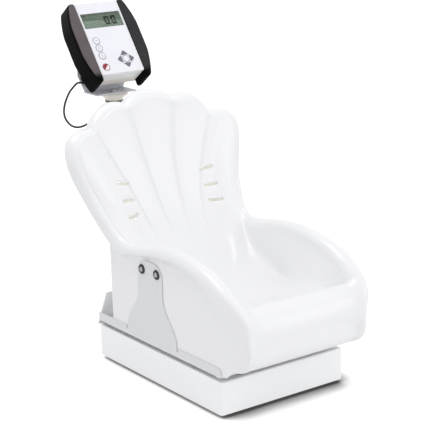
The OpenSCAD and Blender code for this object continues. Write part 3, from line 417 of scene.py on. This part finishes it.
def tub_lines(k, inner, away, back):
    """Down the tub from the rim's inside by a spline through the wall, whose part behind
    is drawn on to the backrest's bowed face, and the pan to the lowest point."""
    a = np.pi * k / LAST
    pan = xyz(119 * np.abs(np.sin(a)) ** np.where(k < LAST / 2, 0.6, 1), PAN_Y - 108 * np.cos(a),
              PAN + 4 * ease((k - 9) / 9))
    fall = np.linalg.norm(pan - inner, axis=-1, keepdims=True)
    wall = np.stack([inner + away * fall * 0.14, mix(inner, pan, 0.5), mix(inner, pan, 0.82)])
    wall[1:, :, 0] *= 1 - np.array([[0.22], [0.1]]) * ease((k - 13) / 4)
    face = BACK_Y - bow(wall[..., 2]) - 18 * (np.abs(wall[..., 0]) / 170) ** 2.2
    wall[..., 1] = mix(wall[..., 1], face, back)
    bottom = xyz(pan[:, 0] / 2, (pan[:, 1] + POLE[1]) / 2, POLE[2])
    low = np.stack([pan, bottom, np.broadcast_to(POLE, inner.shape)])
    return bspline(np.concatenate([inner[None], wall, low]), np.linspace(0, 1, TUB_ROWS + 1)[1:-1])


def rounded_corners(down):
    """The tub with the corners between the arms and the backrest drawn in, as a
    superellipse of power 5, wide where the wings open out."""
    x, y, z = down[..., 0], down[..., 1], down[..., 2]
    off_x = np.abs(x) / (138 + 52 * ease((z - 210) / 110))
    off_y = np.maximum(y - PAN_Y, 0) / (BACK_Y - PAN_Y - bow(z))
    pull = np.minimum((off_x**5 + off_y**5 + 1e-9) ** -0.2, 1) - 1
    pull *= ease((235 - z) / 60) * ease((z - 105) / 50) * ease(np.arange(1, TUB_ROWS) / 18)[:, None]
    return xyz(x * (1 + pull), y + (y - PAN_Y) * pull, z)


def rubbed_smooth(down, k):
    """The tub with its corners rubbed smooth: each free point moves nine tenths of the
    way to the middle of its four neighbours, again and again."""
    row = np.arange(1, TUB_ROWS)[:, None]
    corner = ease((k - 8) / 2) * ease((16.5 - k) / 2) * ease(row / 10)
    low = ease((k - 3) / 6) * ease((row - 26) / 12)
    low = low * ease((225 - down[..., 2]) / 50) * ease((down[..., 1] + 50) / 100)
    free = (np.maximum(corner, low) * ease((TUB_ROWS - row) / 20))[1:-1, 1:, None]
    for _ in range(RUBS):
        wide = np.concatenate([down, down[:, -2:-1] * (-1, 1, 1)], 1)
        beside = wide[2:, 1:-1] + wide[:-2, 1:-1] + wide[1:-1, 2:] + wide[1:-1, :-2]
        down[1:-1, 1:] += 0.9 * free * (beside / 4 - down[1:-1, 1:])
    return down


def fluted(down, k):
    """The tub with each lobe's front 3 mm forward, and a groove 1.8 mm deep that runs down
    from each notch between them. Both fade out towards the pan."""
    groove = sum(np.exp(-((k - g) / 0.10) ** 2) for g in LOBE_ENDS[1:3])
    high = ease((down[..., 2] - 165) / 120)
    deep = 1.8 * groove * ease((down[..., 2] - 150) / 60)
    down[..., 1] -= (3.0 * scallop(k) * high - deep) * ease(np.arange(1, TUB_ROWS) / 4)[:, None]
    return down


def seat_skin(k):
    """Sections at stations k of the rim: from under the foot up the outer wall, a half
    circle over the rim, and down the tub by a spline to its lowest point. Millimetres."""
    flip = (-1, 1, 1, 1, -1, 1, 1)
    s = through(np.concatenate([RIM[1:3][::-1] * flip, RIM, RIM[-3:-1][::-1] * flip]), k + 2)
    back = ease(s[:, 5] / 90)
    lean, turn, sweep = np.radians(s[:, 4]), np.radians(s[:, 5]), np.radians(s[:, 6])[:, None]
    up = unit(xyz(np.sin(lean), BACK_SLOPE * back * np.cos(lean), np.cos(lean)))
    out = xyz(np.cos(turn), np.sin(turn), -BACK_SLOPE * back)
    out = unit(out - (out * up).sum(-1, keepdims=True) * up)
    r = s[:, 3:4]
    mid = s[:, :3] + up * LOBE_HIGH * scallop(k)[:, None] - r * up
    outer = mid + r * out
    inner = mid + r * (up * np.cos(sweep) - out * np.sin(sweep))
    away = -(up * np.sin(sweep) + out * np.cos(sweep))
    under, foot, hip = foot_and_hip(k, s[:, 1], outer[:, 2])
    a = np.linspace(0, np.pi / 2, 9)[:, None, None]
    lower = foot + (hip - foot) * np.concatenate([np.sin(a), np.sin(a), 1 - np.cos(a)], -1)
    reach = np.linalg.norm(outer - hip, axis=-1, keepdims=True) / 3
    t = np.linspace(0, 1, 12)[1:-1, None, None]
    rise = ((1 - t)**3 * hip + 3 * t * (1 - t)**2 * (hip + reach * (0, 0, 1))
            + 3 * t * t * (1 - t) * (outer - reach * up) + t**3 * outer)
    a = mix(np.pi / 2, -sweep, np.linspace(0, 1, 19)[:, None, None])
    over = mid + r * (up * np.cos(a) + out * np.sin(a))
    down = fluted(rubbed_smooth(rounded_corners(tub_lines(k, inner, away, back)), k), k)
    return np.concatenate([under[None], lower, rise, over, down]).transpose(1, 0, 2)


def around(half):
    """Both sides of the tub from one, and the outward direction at each point."""
    skin = np.concatenate([half, (half * (-1, 1, 1))[-2:0:-1]])
    down = np.diff(np.concatenate([skin, np.broadcast_to(POLE, (len(skin), 1, 3))], 1), axis=1)
    down[:, 1:-1] += down[:, :-2]
    return skin, unit(np.cross(np.roll(skin, -1, 0) - np.roll(skin, 1, 0), down))


def fans(n, m):
    """Faces of a skin of n columns by m rows and of its lowest point, number n times m."""
    i, j = np.meshgrid(np.arange(n), np.arange(m - 1), indexing="ij")
    a, b = i * m + j, (i + 1) % n * m + j
    i = np.arange(n)
    tip = xyz(i * m + m - 1, (i + 1) % n * m + m - 1, n * m)
    return np.stack([b, b + 1, a + 1, a], -1).reshape(-1, 4), tip


def placed(points):
    """Metres in the shared frame, from millimetres over the middle of the deck."""
    return points / 1000 + (0, base_middle, DECK_TOP)


def closed_tub(skin, normal):
    """The skin, and the same skin again up to 4 mm inside it."""
    n, m = skin.shape[:2]
    inside = skin - normal * (1 + 3 * ease(np.arange(m) / 6))[:, None]
    shell, tip = fans(n, m)
    i = np.arange(n)
    k = (i + 1) % n
    size = n * m + 1
    faces = shell.tolist() + (shell[:, ::-1] + size).tolist()
    faces += tip.tolist() + (tip[:, ::-1] + size).tolist()
    faces += xyz(i * m, k * m, k * m + size, i * m + size).tolist()
    points = [skin.reshape(-1, 3), [POLE], inside.reshape(-1, 3), [POLE - (0, 0, 4)]]
    return placed(np.concatenate(points)), faces


stations = np.concatenate([np.linspace(0, 14.4, 116)[:-1], np.linspace(14.4, 18, 41)[:-1],
                           np.linspace(18, 20, 37)[:-1], np.linspace(20, 21, 19)])
skin, normal = around(seat_skin(stations))
seat = piece("seat_tub", *closed_tub(skin, normal), 50)

# Slots. Six slots through the backrest, three on each side, 30 mm by 5.6 mm
# with round ends and rounded mouths. Bars are cut out of the tub, and a lining
# is set into each slot.
SLOT_POINTS, SLOT_X, SLOT_STRAIGHT, SLOT_ROUND = 32, 106.5, 12.25, 2.8
SLOT_Z, SLOT_TILT = (296, 263, 233), (10, 6, 3)


def surface_y(x, z, way):
    """Where the back's front (way -1) or rear (way 1) lies: the mean of the skin's own y
    near that x and z, each weighed by exp(-distance^2 / 32)."""
    near = skin[(normal[..., 1] * way > 0.3) & (skin[..., 1] > 0) & (skin[..., 2] > 180)]
    weight = np.exp(-((near[:, 0] - x[..., None])**2 + (near[:, 2] - z[..., None])**2) / 32)
    return (weight * near[:, 1]).sum(-1) / weight.sum(-1)


def slot_ring(grow):
    """Sections of the six slots, each that much more than its own size all round."""
    a = np.linspace(0, 2 * np.pi, SLOT_POINTS, endpoint=False)
    across = np.sign(np.cos(a)) * SLOT_STRAIGHT + (SLOT_ROUND + grow) * np.cos(a)
    up = (SLOT_ROUND + grow) * np.sin(a)
    side, z, slope = (np.array(v, float)[:, None] for v in (
        (-1, -1, -1, 1, 1, 1), SLOT_Z * 2, np.radians(SLOT_TILT * 2)))
    turn = slope * side
    return (side * SLOT_X + across * np.cos(turn) - up * np.sin(turn),
            z + across * np.sin(turn) + up * np.cos(turn))


def slot_pieces(name, rings, closed):
    """Six lofts through the same rings, as bars with flat ends or as rings themselves."""
    i = np.arange(SLOT_POINTS)
    k, last = (i + 1) % SLOT_POINTS, (len(rings) - 1) * SLOT_POINTS
    ends = np.stack([i[::-1], last + i]) if closed else xyz(last + i, last + k, k, i)
    faces = []
    for slot in range(6):
        start = slot * len(rings) * SLOT_POINTS
        faces += grid_faces(len(rings), SLOT_POINTS, start) + (start + ends).tolist()
    return piece(name, placed(np.stack(rings, 1)), faces)


def slot_loft(steps):
    """One ring of each slot for every step: how far it lies behind a face, and its growth."""
    rings = []
    for way, behind, grow in steps:
        x, z = slot_ring(grow)
        rings.append(xyz(x, surface_y(x, z, way) - way * behind, z))
    return rings


# how far behind a face and how much wider than the slot: the mouths are rounded
mouth = ((-30, 3.6), (0, 2.9), (0.5, 2.0), (1.2, 1.2), (2.1, 0.5), (3.4, 0))
through_back = [(1, *m) for m in mouth] + [(-1, *m) for m in mouth[::-1]]
bars = slot_pieces("slot_bars", slot_loft(through_back), True)
lining = [(1, 2.6, 1.8), (-1, 2.6, 1.8), (-1, 2.6, 0), (1, 2.6, 0)]
linings = slot_pieces("slot_linings", slot_loft(lining), False)
cut = seat.modifiers.new("slots", "BOOLEAN")
cut.object, cut.solver, cut.operation = bars, "EXACT", "DIFFERENCE"
bpy.context.view_layer.update()
finished = bpy.data.meshes.new_from_object(seat.evaluated_get(bpy.context.evaluated_depsgraph_get()))
seat.modifiers.clear()
seat.data = finished
bpy.data.objects.remove(bars)
seat.data.shade_smooth()
seat.data.set_sharp_from_angle(angle=math.radians(50))
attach(linings, "platform")
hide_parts("seat")
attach(seat, "platform")
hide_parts("seat")
gloss = Finish("seat_plastic", (0.85, 0.852, 0.862), 0.31, coat=0.2)
gloss.worn(0.22, 0.012, 0.04)
gloss.bump(gloss.noise(0.0014, 2.0) + gloss.noise(0.03) * 0.6, 0.00002).dress(seat)
# a faint light of the walls' own stands in for the light that thin plastic lets through
walls = Finish("slot_walls", (0.90, 0.90, 0.87), 0.5).worn(0.02, 0.02)
walls.put("Emission Color", (0.92, 0.92, 0.84, 1)).put("Emission Strength", 0.14)
walls.bump(walls.noise(0.002), 0.00002).dress(linings)

# Ear screws. Two on each side hold the seat between the deck's ears. They are
# bright steel, in black plastic cups outside and with brass nuts inside.
cup = Finish("ear_cup", (0.02, 0.02, 0.02), 0.38).worn(0.008, 0.3)
cup.bump(cup.noise(0.0008), 0.00005).dress("ear_washers")
bright = Finish("bright_steel", (0.45, 0.45, 0.46), 0.25, metal=1.0).worn(0.004, 0.15, 0.12)
bright.bump(bright.noise(0.0007), 0.00002).dress("ear_screws", "swivel_bolt", "tilt_pin")
brass = Finish("brass", (0.72, 0.53, 0.26), 0.3, metal=1.0).worn(0.004, 0.2)
brass.bump(brass.noise(0.0008), 0.00003).dress("ear_nuts")

# Bracket. Folded sheet steel in blue-grey paint that carries the indicator's
# hinge, on a flared ivory collar over the column's ring.
paint = Finish("bracket_paint", (0.66, 0.665, 0.72), 0.42, coat=0.1).worn(0.03, 0.06, 0.1)
paint.bump(paint.noise(0.0013), 0.00004).dress("yoke")
ivory = Finish("collar_plastic", (0.80, 0.765, 0.69), 0.38).worn(0.02, 0.04)
ivory.bump(ivory.noise(0.001), 0.00004).dress("swivel_collar")

# Indicator. Two moulded halves with a flat printed panel on the front. The
# panel's own directions are across, up the front, and into the housing.
UP, INTO = (0, 0.594823, 0.803857), (0, 0.803857, -0.594823)
HEAD_Y, HEAD_Z = 0.323576 + base_middle, 0.587835


class PanelFinish(Finish):
    """A finish that knows where it is on the indicator, in millimetres."""

    def __init__(self, *settings, **more):
        super().__init__(*settings, **more)
        self.across = self.place.node("SeparateXYZ", {}, {0: self.place}) * 1000
        self.up = self.along(UP)
        self.depth = self.along(INTO)

    def along(self, way):
        """Distance from the panel's lower edge in that direction."""
        dot = self.place.node("VectorMath", {"operation": "DOT_PRODUCT"}, {0: self.place, 1: way}, out=1)
        return dot * 1000 - (HEAD_Y * way[1] + HEAD_Z * way[2]) * 1000

    def away(self, u, v):
        """Distance from a point of the panel."""
        a, b = self.across - u, self.up - v
        squared = a * a + b * b
        return squared.maths("SQRT", squared)

    def frame(self, u, v, w, h, r):
        """Distance outside a rectangle with round corners, below 0 inside it."""
        a = abs(self.across - u) - (w / 2 - r)
        b = abs(self.up - v) - (h / 2 - r)
        over_a, over_b = a.maths("MAXIMUM", a, 0), b.maths("MAXIMUM", b, 0)
        squared = over_a * over_a + over_b * over_b
        inner = a.maths("MINIMUM", a.maths("MAXIMUM", a, b), 0)
        return squared.maths("SQRT", squared) + inner - r


shell = Finish("housing_plastic", (0.84, 0.835, 0.83), 0.42).worn(0.05, 0.02)
shell.bump(shell.noise(0.0008, 4.0), 0.00005).dress("front_housing")
under = Finish("housing_rear", (0.80, 0.765, 0.715), 0.48).worn(0.05, 0.03)
under.bump(under.noise(0.0009, 4.0), 0.00007).dress("rear_housing", "battery_door")
film = PanelFinish("overlay_film", (0.80, 0.80, 0.86), 0.33, coat=0.1)
film.put("Base Color", film.noise(0.05).step(0.3, 0.7).tint((0.79, 0.79, 0.845), (0.82, 0.82, 0.87)))
film.bump(film.noise(0.0006), 0.00001).dress("front_overlay")

# Rails. A soft rubber moulding along each side of the indicator, pushed over
# the housing's edge. It has black sides, rounded ends and a face lighter than
# the sides. The faces carry painted light: the same rubber is painted warm grey
# on the left rail and near black on the right one, as the light falls on them.
RAIL_GRAIN, RAIL_RUBS, RAIL_SWELL = 0.0013, 110, 0.0008


def softened(node, name):
    """The node's own form, cut up evenly, rubbed round by moving each point half way to
    its neighbours' middle again and again, and swelled by what the rubbing took off."""
    obj = bpy.data.objects.new(name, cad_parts[node].data.copy())
    bpy.context.scene.collection.objects.link(obj)
    obj.modifiers.new("joined", "WELD").merge_threshold = 0.00001
    grid = obj.modifiers.new("even", "REMESH")
    grid.mode, grid.voxel_size = "VOXEL", RAIL_GRAIN
    soft = obj.modifiers.new("soft", "SMOOTH")
    soft.factor, soft.iterations = 0.5, RAIL_RUBS
    full = obj.modifiers.new("full", "DISPLACE")
    full.strength, full.mid_level = RAIL_SWELL, 0
    bpy.context.view_layer.update()
    mesh = bpy.data.meshes.new_from_object(obj.evaluated_get(bpy.context.evaluated_depsgraph_get()))
    obj.modifiers.clear()
    obj.data = mesh
    mesh.materials.clear()
    mesh.shade_smooth()
    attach(obj, "indicator")
    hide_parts(node)
    return obj


# painted light: the two faces are one rubber, painted lighter on the left rail and darker on the right
# as the light falls on them
for node, face_colour_with_painted_light in (
    ("rail_left", (0.138, 0.118, 0.123)),
    ("rail_right", (0.042, 0.041, 0.044)),
):
    rubber = PanelFinish(node + "_rubber", (0.01, 0.01, 0.01), 0.5)
    face = (rubber.depth * -1).step(0.6, 2.2) * rubber.up.step(-6, 10)
    cloudy = rubber.noise(0.03, 1.0).step(0.2, 0.8)
    lighter = cloudy.tint(tuple(c * 0.85 for c in face_colour_with_painted_light), face_colour_with_painted_light)
    rubber.put("Base Color", face.tint((0.003, 0.003, 0.003), lighter))
    rubber.put("Roughness", 0.42 + 0.2 * face).put("Specular IOR Level", 0.03)
    rubber.bump(rubber.noise(0.0007, 4.0), 0.00005).dress(softened(node, node + "_moulding"))

# Display. A grey-green liquid crystal cell behind a clear window, clipped to
# the main board. It shows its weight as 0.0 in black segments, with a small
# mark in its upper corner.
DIGIT_UP, DIGIT_WIDE, DIGIT_HIGH, DIGIT_ROUND = 131.5, 12.0, 21.0, 1.8
window = Finish("display_window", (0.03, 0.035, 0.03), 0.08)
window.put("Roughness", 0.05 + 0.06 * window.noise(0.02)).put("Alpha", 0.03)
window.bump(window.noise(0.01), 0.00001).dress("display_lens")
cell = PanelFinish("display_green", (0.2, 0.27, 0.22), 0.35)
marks = cell.away(21, 122.6).step(1.5, 1.2)
for u in (12.4, 29.6):
    digit = cell.frame(u, DIGIT_UP, DIGIT_WIDE, DIGIT_HIGH, DIGIT_ROUND) + 1.9
    stroke = abs(digit).step(2.2, 1.8)
    gap = abs(cell.up - DIGIT_UP).step(0.1, 0.3)
    marks = marks.maths("MAXIMUM", marks, stroke * gap)
marks = marks.maths("MAXIMUM", marks, cell.frame(-41, 146, 5.5, 2.2, 0.5).step(0.3, -0.3))
# painted shade: the cell's green darkens within 4 mm of its edges, as the bezel's shadow
edge = cell.frame(0, 132.5, 99, 36, 1.0).step(-4.0, -0.2)
green = (edge * 0.5).tint((0.29, 0.38, 0.297), (0.14, 0.18, 0.145))
cell.put("Base Color", marks.tint(green, (0.020, 0.026, 0.022)))
cell.bump(cell.noise(0.0012), 0.00001).dress("display_module")
board = Finish("board_green", (0.02, 0.14, 0.06), 0.4).worn(0.004, 0.4)
board.bump(board.noise(0.0009), 0.00008).dress("main_board")
sleeve = Finish("battery_sleeve", (0.05, 0.09, 0.10), 0.3).worn(0.006, 0.3)
sleeve.bump(sleeve.noise(0.001), 0.00003).dress("battery_pack")

# Keys. Nine keys under a printed film that gives as they are pressed: three
# in a row, a red and white one below them, and four arrows round a middle one.
KEY_PALE, KEY_GREY = (0.81, 0.81, 0.865), (0.27, 0.27, 0.33)
KEY_ROW = -35.5
RIM_RADIUS = 7.7


def key_finish(name, u, v):
    """A pale key with a thin grey ring near its edge."""
    finish = PanelFinish(name, (0.80, 0.80, 0.86), 0.35, coat=0.1)
    finish.rim = abs(finish.away(u, v) - RIM_RADIUS).step(0.85, 0.5)
    finish.bump(finish.noise(0.0006), 0.00001)
    return finish


# a dash, a square and a bar, by their places up the panel and their sizes
for number, (v, w, h) in enumerate(((82.8, 7.0, 1.3), (64.1, 5.0, 5.0), (45.4, 1.6, 7.0)), 1):
    key = key_finish("key_film_%d" % number, KEY_ROW, v)
    sign = abs(key.frame(KEY_ROW, v, w, h, 0.5) + 0.45).step(0.5, 0.35)
    printed = key.rim.maths("MAXIMUM", key.rim, sign)
    key.put("Base Color", printed.tint(KEY_PALE, KEY_GREY)).dress("key_round_%d" % number)
power = key_finish("key_red", -36.3, 17.5)
split = (power.up - 17.5 - (power.across + 36.3)).step(-0.5, 0.5)
half = split.tint((0.86, 0.80, 0.82), (0.24, 0.022, 0.030))
power.put("Base Color", power.rim.tint(half, (0.32, 0.05, 0.06))).dress("key_power")
middle = key_finish("key_film_middle", 19.6, 32)
middle.put("Base Color", middle.rim.tint(KEY_PALE, KEY_GREY)).dress("key_centre")
arrows = Finish("key_dark", (0.16, 0.15, 0.21), 0.36, coat=0.1).worn(0.006, 0.08)
arrows.bump(arrows.noise(0.0006), 0.00001).dress("key_up", "key_down", "key_left", "key_right")
